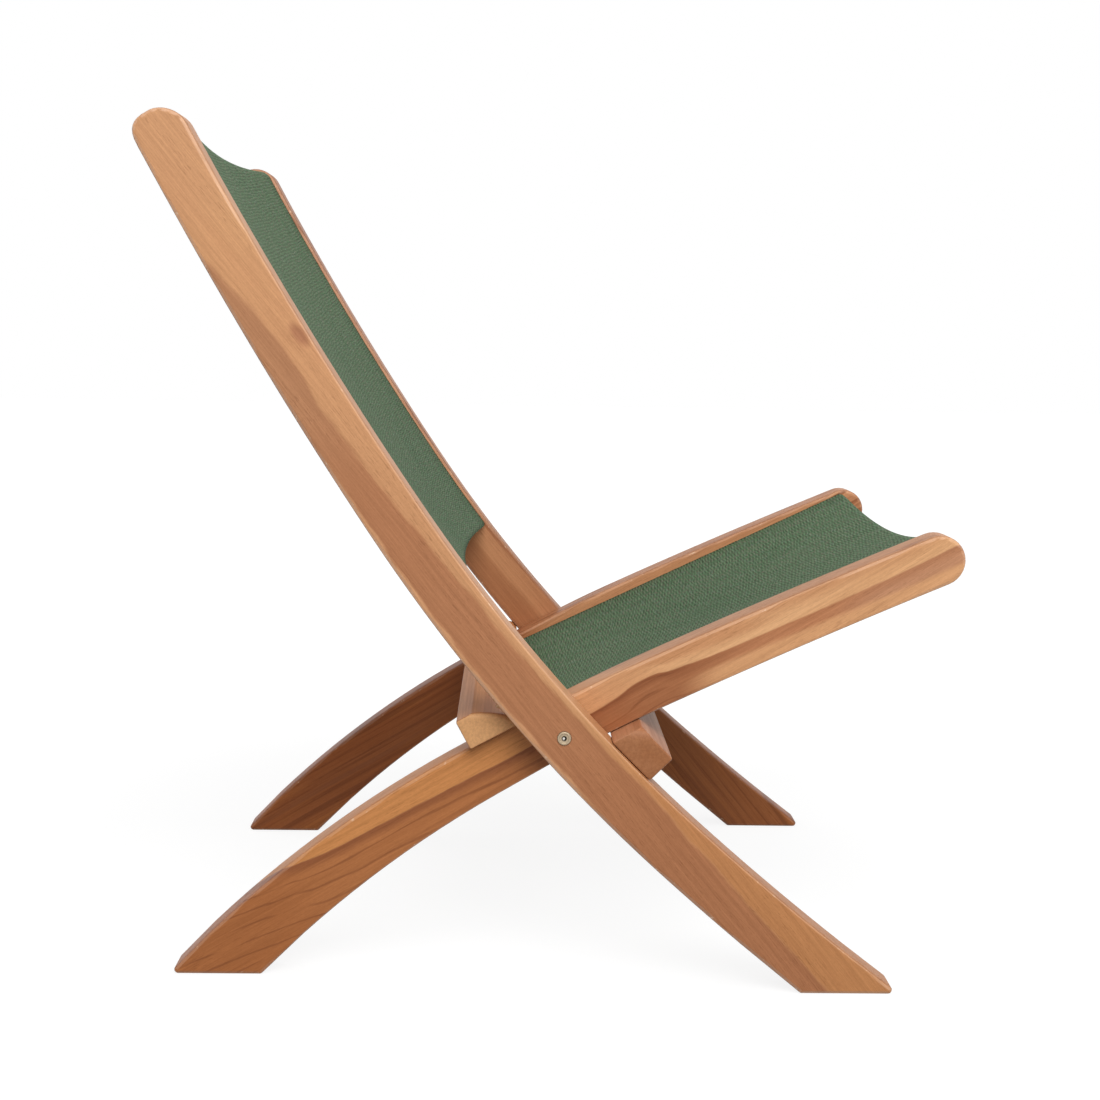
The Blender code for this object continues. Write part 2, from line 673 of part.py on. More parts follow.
def make_pivot(side_name, side, steel, plastic):
    """A bolt from outside, the sleeve nut that it enters, and the washer between the rails."""
    outer_face = world(side * RAIL_OUTER, (0, 0))
    inner_face = world(side * SEAT_INNER, (0, 0))
    head = HEAD_DIAMETER / 2
    sleeve = SLEEVE_DIAMETER / 2
    thread = BOLT_DIAMETER / 2
    under = HEAD_STAND - HEAD_THICKNESS
    rim = HEAD_THICKNESS / 3
    dish = HEAD_DISH_DIAMETER / 2
    profile = ((0, -BOLT_THREAD_LENGTH), (thread - rim, -BOLT_THREAD_LENGTH),
               (thread, rim - BOLT_THREAD_LENGTH), (thread, under), (head, under),
               (head, HEAD_STAND - rim), (head - rim, HEAD_STAND), (dish + rim, HEAD_STAND),
               (dish, HEAD_STAND - HEAD_DISH_DEPTH), (0, HEAD_STAND - HEAD_DISH_DEPTH))
    bolt = object_from(turned(profile, ROUND_STEPS, outer_face, (side, 0, 0)),
                       "pivot_bolt_" + side_name, steel)
    socket = SOCKET_DIAMETER / 2
    floor = HEAD_STAND - SOCKET_DEPTH
    key = turned(((0, floor), (socket, floor), (socket, 2 * HEAD_STAND), (0, 2 * HEAD_STAND)), 6,
                 outer_face, (side, 0, 0))
    cut(bolt, object_from(key, f"pivot_bolt_{side_name}_socket_cutter"))
    smooth(bolt)

    bore = thread + PIECE_GAP
    bore_depth = RAIL_OUTER - SEAT_INNER - BOLT_THREAD_LENGTH - 2 * PIECE_GAP
    profile = ((0, -HEAD_STAND), (head - rim, -HEAD_STAND), (head, rim - HEAD_STAND), (head, -under),
               (sleeve, -under), (sleeve, SLEEVE_LENGTH), (bore, SLEEVE_LENGTH), (bore, bore_depth),
               (0, bore_depth))
    nut = object_from(turned(profile, ROUND_STEPS, inner_face, (side, 0, 0)),
                      "pivot_sleeve_nut_" + side_name, steel)
    smooth(nut)

    hole = sleeve + PIVOT_CLEARANCE
    ring = WASHER_DIAMETER / 2
    start = SEAT_OUTER + PIECE_GAP
    bm = turned(((hole, 0), (ring, 0), (ring, WASHER_THICKNESS), (hole, WASHER_THICKNESS), (hole, 0)),
                ROUND_STEPS, world(side * start, (0, 0)), (side, 0, 0))
    bmesh.ops.remove_doubles(bm, verts=bm.verts, dist=0.00001)
    washer = object_from(bm, "pivot_washer_" + side_name, plastic)
    smooth(washer)


def main():
    clear_scene()
    wood = make_material("hardwood", (0.46, 0.22, 0.095), 0.55)
    pin_wood = make_material("dowel_wood", (0.62, 0.45, 0.27), 0.60)
    fabric = make_material("sling_weave", (0.055, 0.105, 0.060), 0.80)
    steel = make_material("steel", (0.58, 0.54, 0.47), 0.35, 1.0)
    plastic = make_material("nylon", (0.05, 0.05, 0.05), 0.50)

    sides = (("left", 1), ("right", -1))
    back_rails, seat_rails = [], []
    for side_name, side in sides:
        rail = make_rail("back_rail_" + side_name, BACK_LINE, BACK_OUTLINE, RAIL_OUTER, side, 1,
                         BACK_SEAM, BACK_STRETCHER_AT, wood)
        back_rails.append((side_name, side, rail))
        rail = make_rail("seat_rail_" + side_name, SEAT_LINE, SEAT_OUTLINE, SEAT_OUTER, side, -1,
                         SEAT_SEAM, SEAT_STRETCHER_AT, wood)
        seat_rails.append((side_name, side, rail))
        make_spline("back_spline_" + side_name, BACK_SEAM, BACK_INNER, side, plastic)
        make_spline("seat_spline_" + side_name, SEAT_SEAM, SEAT_INNER, side, plastic)
        make_pivot(side_name, side, steel, plastic)

    front_shape = stop_section(BACK_LINE, 1, -1, SEAT_LINE, -1)
    rear_shape = stop_section(SEAT_LINE, 1, -1, BACK_LINE, -1)
    make_stop_bar("front_stop_bar", back_rails, front_shape, RAIL_OUTER - FRONT_STOP_RECESS,
                  (RAIL_OUTER + BACK_INNER) / 2, (FRONT_DOME_RADIUS, FRONT_DOME_EASING), wood, pin_wood)
    make_stop_bar("rear_stop_bar", seat_rails, rear_shape, RAIL_OUTER - REAR_STOP_RECESS,
                  (SEAT_OUTER + SEAT_INNER) / 2, (REAR_DOME_RADIUS, REAR_DOME_EASING), wood, pin_wood)
    make_stretcher("back_stretcher", BACK_LINE, BACK_STRETCHER_AT, BACK_INNER, wood)
    make_stretcher("seat_stretcher", SEAT_LINE, SEAT_STRETCHER_AT, SEAT_INNER, wood)
    make_sling("back_sling", BACK_SEAM, BACK_INNER, BACK_SLING_SAG, fabric)
    make_sling("seat_sling", SEAT_SEAM, SEAT_INNER, SEAT_SLING_SAG, fabric)


main()
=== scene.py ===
"""Looks of the folding lounge chair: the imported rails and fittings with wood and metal
finishes, two woven slings that replace the plain ones, and the photograph's view of it."""

import json
import math

import bpy
import numpy as np
from mathutils import Matrix, Vector


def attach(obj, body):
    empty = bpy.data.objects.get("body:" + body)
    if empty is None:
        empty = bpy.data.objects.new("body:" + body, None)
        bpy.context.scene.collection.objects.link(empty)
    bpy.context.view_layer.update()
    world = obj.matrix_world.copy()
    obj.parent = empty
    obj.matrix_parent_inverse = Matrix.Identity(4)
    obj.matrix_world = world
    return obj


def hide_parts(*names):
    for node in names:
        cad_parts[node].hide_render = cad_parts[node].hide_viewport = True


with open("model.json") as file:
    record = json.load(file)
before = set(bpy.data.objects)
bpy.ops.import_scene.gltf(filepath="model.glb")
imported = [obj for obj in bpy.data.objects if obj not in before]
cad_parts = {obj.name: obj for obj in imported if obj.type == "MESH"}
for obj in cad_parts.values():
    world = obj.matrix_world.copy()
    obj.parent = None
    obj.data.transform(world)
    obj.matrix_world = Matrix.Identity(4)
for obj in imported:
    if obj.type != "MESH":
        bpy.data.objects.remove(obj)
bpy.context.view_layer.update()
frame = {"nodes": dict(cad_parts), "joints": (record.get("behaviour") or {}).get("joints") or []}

NODES = frame["nodes"]
HINGE = frame["joints"][0]
PIVOT = Vector(HINGE["pos_m"])

# The boards' own directions: each rail is sawn from a straight board, so its grain is straight.
BACK_BOARD = math.radians(50.8)
SEAT_BOARD = math.radians(149.1)
WOOD_SPECULAR = 0.22
WOOD_BUMP = (0.30, 0.00025)
# Painted shade on the rails' narrow faces, which are darker for how light falls on them
NARROW_FACE_SHADE = (0.80, 0.77, 0.78, 1.0)
HEART_SLANT = 0.45
KNOT_ALONG = 0.406
KNOT_ACROSS = 0.040
KNOT_LENGTH = 0.0125
KNOT_WIDTH = 0.0060
KNOT_FADE = (1.25, 0.35)
SWIRL_FADE = (3.6, 0.9)
NEAR_SIDE = (-0.19, -0.20)
RING_SPACING = 0.0062

# Edges between tones, as places along a board and across it
BACK_HEART_EDGE = ((-0.36, 0.044), (-0.16, 0.031), (-0.09, 0.028), (-0.03, 0.022), (0.09, 0.016),
                   (0.33, 0.014), (0.41, 0.023), (0.48, 0.020), (0.51, 0.015))
SEAT_HEART_EDGE = ((-0.41, 0.035), (-0.29, 0.018), (-0.24, 0.009), (-0.12, 0.004), (0.0, 0.0),
                   (0.05, 0.0), (0.08, 0.003), (0.11, -0.003), (0.17, -0.012), (0.29, -0.025),
                   (0.41, -0.034))
SEAT_HEART_LOW = ((0.0, -0.010), (0.08, -0.015), (0.13, -0.017), (0.21, -0.026),
                  (0.31, -0.039), (0.41, -0.050))

# How far along a board each of these edges runs
BACK_CURVE_SPAN = (-0.37, 0.56)
SEAT_CURVE_SPAN = (-0.42, 0.42)
SEAT_LOW_CURVE_SPAN = (0.0, 0.42)

# Places along a board between which a tone comes in
BACK_TOP_SPAN = (0.50, 0.56)
BACK_HEART_END_SPAN = (0.52, 0.49)
BACK_LOWER_HEART_SPAN = (0.38, 0.26)
BACK_LEG_HEART_SPAN = (0.02, -0.08)
BACK_LEG_SAPWOOD_SPAN = (0.05, -0.10)
RIM_REAR_SPAN = (-0.09, -0.03)
RIM_FRONT_SPAN = (0.33, 0.26)
SEAT_REAR_SPAN = (0.03, -0.06)
SEAT_FRONT_SPAN = (0.10, 0.20)
SEAT_TIP_SPAN = (0.24, 0.31)
SEAT_FOOT_SPAN = (-0.23, -0.31)
RINGS_END_SPAN = (0.17, 0.07)
SEAT_PALE_SPAN = (0.25, 0.17)
SEAT_FLARE_SPAN = (0.13, 0.06)
SEAT_SAPWOOD_SPAN = (0.065, 0.10)
SEAT_LOW_SPAN = (0.10, 0.15)
FAR_LEG_SPAN = (0.02, -0.09)
FAR_HEART_SPAN = (0.40, 0.16)
FAR_TOP_SPAN = (0.22, 0.40)

# The back rail's rear edge, as a shallow arc on its board
REAR_EDGE_LOWEST = 0.09
REAR_EDGE_DEPTH = 0.0274
REAR_EDGE_BEND = 0.30

# A face's sideways share: 1 on a rail's broad faces, 0 on its narrow ones
CORNER_START = (0.985, 0.94)
CORNER_END = (0.66, 0.80)
NARROW_FACE = (0.78, 0.60)
BAR_END = (0.35, 0.75)

# Slings
SLING_THICKNESS = 0.0012
YARN_PITCH = 0.0017
BACK_SAG = 0.0120
SEAT_SAG = 0.0185
COLUMNS = 56
ROWS = 96
PATH_POINTS = 400
HEM_SHARPNESS = 30
BACK_HEMS = ((0.003, 0.011), (0.005, 0.004))
SEAT_HEMS = ((0.003, 0.002), (0.002, 0.002))
BACK_INNER = 0.2370
SEAT_INNER = 0.2014
SEAT_OUTER = 0.2344
BACK_AWAY = (-1, 1)
SEAT_AWAY = (0, 1)
BACK_WEAVE_TURN = 0.12
SEAT_WEAVE_TURN = 0.10
WEAVE_BUMP = (0.45, 0.0004)
# How far the painted shade beside the rails reaches on the slings
RAIL_SHADE_WIDTH = 0.045

# Fittings, with the bolt head as distances from its middle
SOCKET_RADIUS = (0.0026, 0.0020)
DISH_RADIUS = (0.0048, 0.0027)
RIM_RADIUS = (0.0062, 0.0049)
# Size and place of the painted glint in the bolt's socket
GLINT_RADIUS = (0.0013, 0.0008)
GLINT_PLACE = (0, 0.0004, -0.0006)
METAL_BUMP = (0.5, 0.0007)
NYLON_BUMP = (0.15, 0.0001)

# Shading of the CAD pieces
MERGE_DISTANCE = 1e-5
SHARP_ANGLE = math.radians(32)

# Camera, fitted to the photograph
IMAGE_SIZE = 1100
FOCAL_PIXELS = 1665.9
SENSOR = 36.0
CAMERA_PLACE = Vector((-1.6676, 0.0419, 0.5698))
CAMERA_YAW = -0.02368
CAMERA_PITCH = -0.12743
CAMERA_ROLL = 0.01649

# Floor and light
FLOOR_REACH = 12.0
FLOOR_DULL = (0.28, 0.28, 0.28, 1)
FLOOR_PALE = (0.18, 0.18, 0.18, 1)
FLOOR_GLOW = 0.86
GLOW_RISE = 0.14
GLOW_START = 0.45
GLOW_END = 1.6
SKY_STRENGTH = 0.26
WHITE = (1, 1, 1, 1)
LAMP_AIM = (0, 0, 0.35)
LAMPS = (("key", (-2.4, -0.5, 2.5), (2.4, 2.4), 104),
         ("top", (0.2, 0.4, 3.0), (2.2, 2.2), 10),
         ("front", (-0.4, -2.8, 1.9), (2.0, 2.0), 24),
         ("rear", (1.3, 2.7, 1.5), (2.0, 2.0), 20))


# Camera, floor and light

def make_camera():
    """The photograph's camera."""
    y, p, r = CAMERA_YAW, CAMERA_PITCH, CAMERA_ROLL
    forward = Vector((math.cos(p) * math.cos(y), math.cos(p) * math.sin(y), math.sin(p)))
    level_right = Vector((math.sin(y), -math.cos(y), 0))
    level_up = level_right.cross(forward)
    right = math.cos(r) * level_right + math.sin(r) * level_up
    up = -math.sin(r) * level_right + math.cos(r) * level_up
    data = bpy.data.cameras.new("photo_camera")
    data.sensor_width = SENSOR
    data.lens = FOCAL_PIXELS * SENSOR / IMAGE_SIZE
    data.clip_start = 0.01
    camera = bpy.data.objects.new("photo_camera", data)
    bpy.context.scene.collection.objects.link(camera)
    place = Matrix((right, up, -forward)).transposed().to_4x4()
    place.translation = CAMERA_PLACE
    camera.matrix_world = place
    bpy.context.scene.camera = camera


class Tree:
    """A node tree, with short ways to add nodes and join them."""

    def __init__(self, tree):
        self.tree = tree
        tree.nodes.clear()

    def node(self, kind, **settings):
        made = self.tree.nodes.new(kind)
        for name, value in settings.items():
            setattr(made, name, value)
        return made

    def put(self, socket, value):
        if isinstance(value, bpy.types.NodeSocket):
            self.tree.links.new(value, socket)
        else:
            socket.default_value = value

    def math(self, operation, a, b=0.0, c=0.0, clamp=False):
        made = self.node("ShaderNodeMath", operation=operation, use_clamp=clamp)
        for socket, value in zip(made.inputs, (a, b, c)):
            self.put(socket, value)
        return made.outputs[0]

    def vector(self, operation, a, b=(0, 0, 0), out=0):
        made = self.node("ShaderNodeVectorMath", operation=operation)
        self.put(made.inputs[0], a)
        self.put(made.inputs[1], b)
        return made.outputs[out]

    def combine(self, x, y, z):
        made = self.node("ShaderNodeCombineXYZ")
        for socket, value in zip(made.inputs, (x, y, z)):
            self.put(socket, value)
        return made.outputs[0]

    def part(self, value, index):
        """One of a vector's three numbers."""
        made = self.node("ShaderNodeSeparateXYZ")
        self.put(made.inputs[0], value)
        return made.outputs[index]

    def noise(self, place, detail=2.0, rough=0.5):
        made = self.node("ShaderNodeTexNoise", noise_dimensions="3D")
        self.put(made.inputs["Vector"], place)
        made.inputs["Scale"].default_value = 1.0
        made.inputs["Detail"].default_value = detail
        made.inputs["Roughness"].default_value = rough
        return made.outputs["Fac"]

    def steps(self, value, low, high):
        """0 below low and 1 above high, smooth between."""
        made = self.node("ShaderNodeMapRange", interpolation_type="SMOOTHSTEP")
        self.put(made.inputs["Value"], value)
        self.put(made.inputs["From Min"], low)
        self.put(made.inputs["From Max"], high)
        return made.outputs["Result"]

    def mix(self, share, a, b, blend="MIX"):
        made = self.node("ShaderNodeMix", data_type="RGBA", blend_type=blend)
        made.clamp_factor = True
        self.put(made.inputs[0], share)
        self.put(made.inputs[6], a)
        self.put(made.inputs[7], b)
        return made.outputs[2]

    def curve(self, value, points, low, high):
        """A smooth line through (place, height) points, for a value between low and high."""
        heights = [p[1] for p in points]
        base, top = min(heights) - 0.001, max(heights) + 0.001
        share = self.math("DIVIDE", self.math("SUBTRACT", value, low), high - low, clamp=True)
        made = self.node("ShaderNodeFloatCurve")
        line = made.mapping.curves[0]
        scaled = [((x - low) / (high - low), (h - base) / (top - base)) for x, h in points]
        line.points[0].location = scaled[0]
        line.points[1].location = scaled[-1]
        for x, h in scaled[1:-1]:
            line.points.new(x, h)
        made.mapping.extend = "HORIZONTAL"
        made.mapping.update()
        self.put(made.inputs["Value"], share)
        return self.math("MULTIPLY_ADD", made.outputs[0], top - base, base)


def rgb(red, green, blue):
    """A colour from its screen values, 0 to 255."""
    def linear(c):
        c /= 255
        return c / 12.92 if c <= 0.04045 else ((c + 0.055) / 1.055) ** 2.4
    return (linear(red), linear(green), linear(blue), 1.0)


def new_material(name):
    """An empty material, its node tree and its shader."""
    material = bpy.data.materials.new(name)
    material.use_nodes = True
    tree = Tree(material.node_tree)
    shader = tree.node("ShaderNodeBsdfPrincipled")
    output = tree.node("ShaderNodeOutputMaterial")
    tree.tree.links.new(shader.outputs[0], output.inputs[0])
    return material, tree, shader


def bump(tree, shader, height, strength, distance):
    """Fine relief in a material's surface."""
    made = tree.node("ShaderNodeBump")
    made.inputs["Strength"].default_value = strength
    made.inputs["Distance"].default_value = distance
    tree.put(made.inputs["Height"], height)
    tree.put(shader.inputs["Normal"], made.outputs[0])


def from_pivot(tree):
    """A point's place, from the middle of the pivot line."""
    spot = tree.node("ShaderNodeTexCoord").outputs["Object"]
    return tree.vector("SUBTRACT", spot, tuple(PIVOT))


def toned(tree, colour, tone, green, blue):
    """The colour times the tone, with a warmer shade where it is darker."""
    shade = tree.combine(tone, tree.math("POWER", tone, green), tree.math("POWER", tone, blue))
    return tree.mix(1.0, colour, shade, "MULTIPLY")


def seen_white(tree):
    """1 for the camera's rays and for reflections, 0 for light that falls on the chair."""
    path = tree.node("ShaderNodeLightPath")
    seen = tree.math("ADD", path.outputs["Is Camera Ray"], path.outputs["Is Glossy Ray"])
    return tree.math("ADD", seen, path.outputs["Is Transmission Ray"], clamp=True)


def make_stage():
    """A pale floor that shows white to the camera but keeps the chair's soft shadow."""
    mesh = bpy.data.meshes.new("floor")
    far = FLOOR_REACH
    mesh.from_pydata([(-far, -far, 0), (far, -far, 0), (far, far, 0), (-far, far, 0)], [],
                     [(0, 1, 2, 3)])
    floor = bpy.data.objects.new("floor", mesh)
    bpy.context.scene.collection.objects.link(floor)
    material = bpy.data.materials.new("floor")
    material.use_nodes = True
    tree = Tree(material.node_tree)
    seen = seen_white(tree)
    spot = tree.node("ShaderNodeTexCoord").outputs["Object"]
    away = tree.vector("LENGTH", spot, out=1)
    dull = tree.node("ShaderNodeBsdfDiffuse")
    dull.inputs["Color"].default_value = FLOOR_DULL
    pale = tree.node("ShaderNodeBsdfDiffuse")
    pale.inputs["Color"].default_value = FLOOR_PALE
    glow = tree.node("ShaderNodeEmission")
    glow.inputs["Color"].default_value = WHITE
    share = tree.steps(away, GLOW_START, GLOW_END)
    tree.put(glow.inputs["Strength"], tree.math("MULTIPLY_ADD", share, GLOW_RISE, FLOOR_GLOW))
    both = tree.node("ShaderNodeAddShader")
    choice = tree.node("ShaderNodeMixShader")
    output = tree.node("ShaderNodeOutputMaterial")
    link = tree.tree.links.new
    link(pale.outputs[0], both.inputs[0])
    link(glow.outputs[0], both.inputs[1])
    link(seen, choice.inputs[0])
    link(dull.outputs[0], choice.inputs[1])
    link(both.outputs[0], choice.inputs[2])
    link(choice.outputs[0], output.inputs[0])
    mesh.materials.append(material)


def make_world():
    """White to the camera, soft grey light on the chair."""
    world = bpy.data.worlds.new("studio")
    bpy.context.scene.world = world
    world.use_nodes = True
    tree = Tree(world.node_tree)
    seen = seen_white(tree)
    soft = tree.node("ShaderNodeBackground")
    soft.inputs["Color"].default_value = WHITE
    soft.inputs["Strength"].default_value = SKY_STRENGTH
    white = tree.node("ShaderNodeBackground")
    white.inputs["Color"].default_value = WHITE
    white.inputs["Strength"].default_value = 1.0
    choice = tree.node("ShaderNodeMixShader")
    output = tree.node("ShaderNodeOutputWorld")
    link = tree.tree.links.new
    link(seen, choice.inputs[0])
    link(soft.outputs[0], choice.inputs[1])
    link(white.outputs[0], choice.inputs[2])
    link(choice.outputs[0], output.inputs[0])


def make_lamp(name, place, size, power):
    """A soft rectangular lamp that faces the chair."""
    data = bpy.data.lights.new(name, "AREA")
    data.shape = "RECTANGLE"
    data.size, data.size_y = size
    data.energy = power
    lamp = bpy.data.objects.new(name, data)
    bpy.context.scene.collection.objects.link(lamp)
    lamp.location = place
    lamp.rotation_mode = "QUATERNION"
    lamp.rotation_quaternion = (Vector(place) - Vector(LAMP_AIM)).to_track_quat("Z", "Y")


# Wood

# Painted highlight along the rails' rounded corners, then the tone of worn chips there
PAINTED_EDGE_HIGHLIGHT_TONE = rgb(236, 200, 174)
EDGE_CHIP_TONE = rgb(236, 204, 174)
DARK_STREAK_TONE = rgb(134, 78, 46)
HEART_TOP_TONE = rgb(175, 123, 87)
HEART_MIDDLE_TONE = rgb(171, 115, 79)
HEART_LEG_TONE = rgb(167, 110, 74)
BACK_TOP_TONE = rgb(198, 145, 104)
BACK_LEG_TONE = rgb(186, 126, 78)
BACK_RIM_TONE = rgb(214, 160, 116)
KNOT_CORE_TONE = rgb(158, 103, 74)
KNOT_SWIRL_TONE = rgb(178, 122, 86)
SEAT_SAPWOOD_FRONT_TONE = rgb(196, 142, 99)
SEAT_SAPWOOD_MIDDLE_TONE = rgb(188, 132, 90)
SEAT_SAPWOOD_REAR_TONE = rgb(198, 131, 73)
SEAT_HEART_MIDDLE_TONE = rgb(155, 97, 61)
SEAT_HEART_LEG_TONE = rgb(172, 107, 61)
SEAT_HEART_FOOT_TONE = rgb(163, 98, 53)
SEAT_HEART_FRONT_TONE = rgb(181, 121, 83)
SEAT_HEART_TIP_TONE = rgb(186, 133, 99)
SEAT_RIM_REAR_TONE = rgb(137, 81, 49)
SEAT_RIM_FRONT_TONE = rgb(170, 112, 75)
SEAT_LOW_TONE = rgb(210, 156, 110)
GROWTH_LINE_TONE = rgb(116, 64, 36)
FAR_HEART_TONE = rgb(158, 102, 66)
FAR_TOP_TONE = rgb(172, 120, 90)
# Far legs: brown heartwood, darkened further as painted shade under the slings
FAR_BACK_LEG_TONE = rgb(156, 89, 45)
FAR_SEAT_LEG_TONE = rgb(144, 76, 32)
FAR_LEG_STREAK_TONE = rgb(96, 46, 20)
FAR_LEG_PALE_TONE = rgb(184, 112, 58)


def board_place(tree, board, lean):
    """A point's place on a rail's board: along the grain, across it, and through it."""
    spot = from_pivot(tree)
    along = (0, math.cos(board), math.sin(board))
    across = (0, -lean * math.sin(board), lean * math.cos(board))
    u = tree.vector("DOT_PRODUCT", spot, along, out=1)
    v = tree.vector("DOT_PRODUCT", spot, across, out=1)
    return u, v, tree.part(spot, 0)


def edge_highlight_and_wear(tree, colour, highlight_share):
    """Edges: a painted highlight as a thin pale line along each corner, small worn chips at the
    corners, and painted shade on the narrow faces."""
    facing = tree.part(tree.node("ShaderNodeTexCoord").outputs["Normal"], 0)
    facing = tree.math("ABSOLUTE", facing)
    corner = tree.math("MULTIPLY", tree.steps(facing, *CORNER_START),
                       tree.steps(facing, *CORNER_END))
    narrow = tree.steps(facing, *NARROW_FACE)
    # Painted highlight: a thin pale line along each rounded corner
    colour = tree.mix(tree.math("MULTIPLY", corner, highlight_share), colour, PAINTED_EDGE_HIGHLIGHT_TONE)
    spot = tree.node("ShaderNodeTexCoord").outputs["Object"]
    chips = tree.noise(tree.vector("MULTIPLY", spot, (150, 150, 150)), 2, 0.6)
    chips = tree.math("MULTIPLY", tree.steps(chips, 0.64, 0.72), corner)
    colour = tree.mix(tree.math("MULTIPLY", chips, 0.5), colour, EDGE_CHIP_TONE)
    # Painted shade on the narrow faces
    return tree.mix(narrow, colour, NARROW_FACE_SHADE, "MULTIPLY")


def finish_wood(tree, shader, colour, lines, fibre, pore, highlight_share):
    """Oil finish: sheen that follows the grain, and open pores in the surface."""
    tree.put(shader.inputs["Base Color"], edge_highlight_and_wear(tree, colour, highlight_share))
    sheen = tree.math("MULTIPLY_ADD", lines, 0.16, 0.36)
    tree.put(shader.inputs["Roughness"], tree.math("MULTIPLY_ADD", pore, 0.15, sheen))
    shader.inputs["Specular IOR Level"].default_value = WOOD_SPECULAR
    height = tree.math("SUBTRACT", tree.math("MULTIPLY", fibre, 0.6),
                       tree.math("MULTIPLY", pore, 0.5))
    bump(tree, shader, height, *WOOD_BUMP)


def wood(name, board, lean, seed, pale, deep, features, streaks=0.0, highlight_share=0.27):
    """Oiled hardwood. pale and deep are its lightest and darkest usual tones, features adds the
    rail's own marks, streaks is the strength of dark streaks, and the last argument the strength
    of the painted highlight along its corners."""
    material, tree, shader = new_material(name)
    u, v, x = board_place(tree, board, lean)
    drift = tree.noise(tree.combine(tree.math("MULTIPLY_ADD", u, 3.1, seed), seed * 0.7,
                                    tree.math("MULTIPLY", x, 8)), detail=2)
    drift = tree.math("MULTIPLY_ADD", drift, 0.016, -0.008)
    grain_v = tree.math("ADD", v, drift)

    def grain(along, across, detail, rough=0.55, shift=0.0):
        return tree.noise(tree.combine(tree.math("MULTIPLY_ADD", u, along, seed + shift),
                                       tree.math("MULTIPLY", grain_v, across),
                                       tree.math("MULTIPLY", x, across * 0.6)), detail, rough)

    broad = grain(2.2, 34, 2)
    lines = grain(5.0, 330, 3, 0.6, 3.3)
    fibre = grain(34, 1200, 3, 0.65, 7.7)
    pores = grain(100, 1000, 2, 0.5, 5.1)
    colour = tree.mix(tree.steps(broad, 0.32, 0.68), pale, deep)
    colour = features(tree, u, v, x, colour)
    if streaks:
        streak = tree.steps(grain(1.1, 120, 2, 0.5, 11.3), 0.56, 0.64)
        gate = tree.steps(grain(3.0, 40, 1, 0.5, 9.9), 0.40, 0.60)
        streak = tree.math("MULTIPLY", streak, gate)
        colour = tree.mix(tree.math("MULTIPLY", streak, streaks), colour, DARK_STREAK_TONE)
    tone = tree.math("MULTIPLY_ADD", tree.steps(lines, 0.30, 0.72), -0.15, 1.075)
    tone = tree.math("MULTIPLY", tone,
                     tree.math("MULTIPLY_ADD", tree.steps(fibre, 0.25, 0.75), -0.15, 1.075))
    pore = tree.math("MULTIPLY", tree.steps(pores, 0.57, 0.66),
                     tree.math("MULTIPLY_ADD", tree.steps(grain(6, 60, 1, 0.5, 4.4), 0.42, 0.66),
                               0.8, 0.2))
    tone = tree.math("MULTIPLY", tone, tree.math("MULTIPLY_ADD", pore, -0.18, 1.0))
    speck = grain(420, 900, 2, 0.6, 2.2)
    tone = tree.math("MULTIPLY", tone, tree.math("MULTIPLY_ADD", speck, 0.22, 0.89))
    colour = toned(tree, colour, tone, 1.18, 1.32)
    finish_wood(tree, shader, colour, lines, fibre, pore, highlight_share)
    return material


def bar_wood(name, seed, pale, deep, end):
    """Wood of a bar whose grain runs from side to side. end is its end grain's tone."""
    material, tree, shader = new_material(name)
    spot = from_pivot(tree)

    def grain(along, across, detail, shift):
        moved = tree.vector("MULTIPLY", spot, (along, across, across))
        return tree.noise(tree.vector("ADD", moved, (seed + shift, seed, shift)), detail, 0.6)

    broad = grain(3, 55, 2, 0.0)
    lines = grain(7, 420, 3, 3.1)
    fibre = grain(60, 1800, 3, 6.2)
    colour = tree.mix(tree.steps(broad, 0.3, 0.7), pale, deep)
    facing = tree.part(tree.node("ShaderNodeTexCoord").outputs["Normal"], 0)
    ends = tree.steps(tree.math("ABSOLUTE", facing), *BAR_END)
    colour = tree.mix(tree.math("MULTIPLY", ends, 0.8), colour, end)
    tone = tree.math("MULTIPLY_ADD", tree.steps(lines, 0.3, 0.72), -0.18, 1.08)
    tone = tree.math("MULTIPLY", tone,
                     tree.math("MULTIPLY_ADD", tree.steps(fibre, 0.3, 0.75), -0.16, 1.06))
    colour = toned(tree, colour, tone, 1.18, 1.3)
    tree.put(shader.inputs["Base Color"], colour)
    tree.put(shader.inputs["Roughness"], tree.math("MULTIPLY_ADD", lines, 0.16, 0.42))
    shader.inputs["Specular IOR Level"].default_value = WOOD_SPECULAR
    bump(tree, shader, fibre, *WOOD_BUMP)
    return material


def back_left_features(tree, u, v, x, colour):
    """Brown heartwood on the rear half above the pivot, and a leg darkened partly as brown
    heartwood and partly as painted shade under the slings.
    """
    shift = waver(tree, u, v, x, 14, 70, 0.006)
    heart = tree.math("MULTIPLY", tree.steps(tree.math("ADD", v, shift), 0.006, -0.002),
                      tree.steps(u, *FAR_HEART_SPAN))
    colour = tree.mix(tree.math("MULTIPLY", heart, 0.75), colour, FAR_HEART_TONE)
    colour = tree.mix(tree.math("MULTIPLY", tree.steps(u, *FAR_TOP_SPAN), 0.6), colour,
                      FAR_TOP_TONE)
    return heartwood_and_shade_leg(tree, u, v, x, colour, FAR_BACK_LEG_TONE)


def seat_left_features(tree, u, v, x, colour):
    """A leg darkened partly as brown heartwood and partly as painted shade under the slings."""
    return heartwood_and_shade_leg(tree, u, v, x, colour, FAR_SEAT_LEG_TONE)


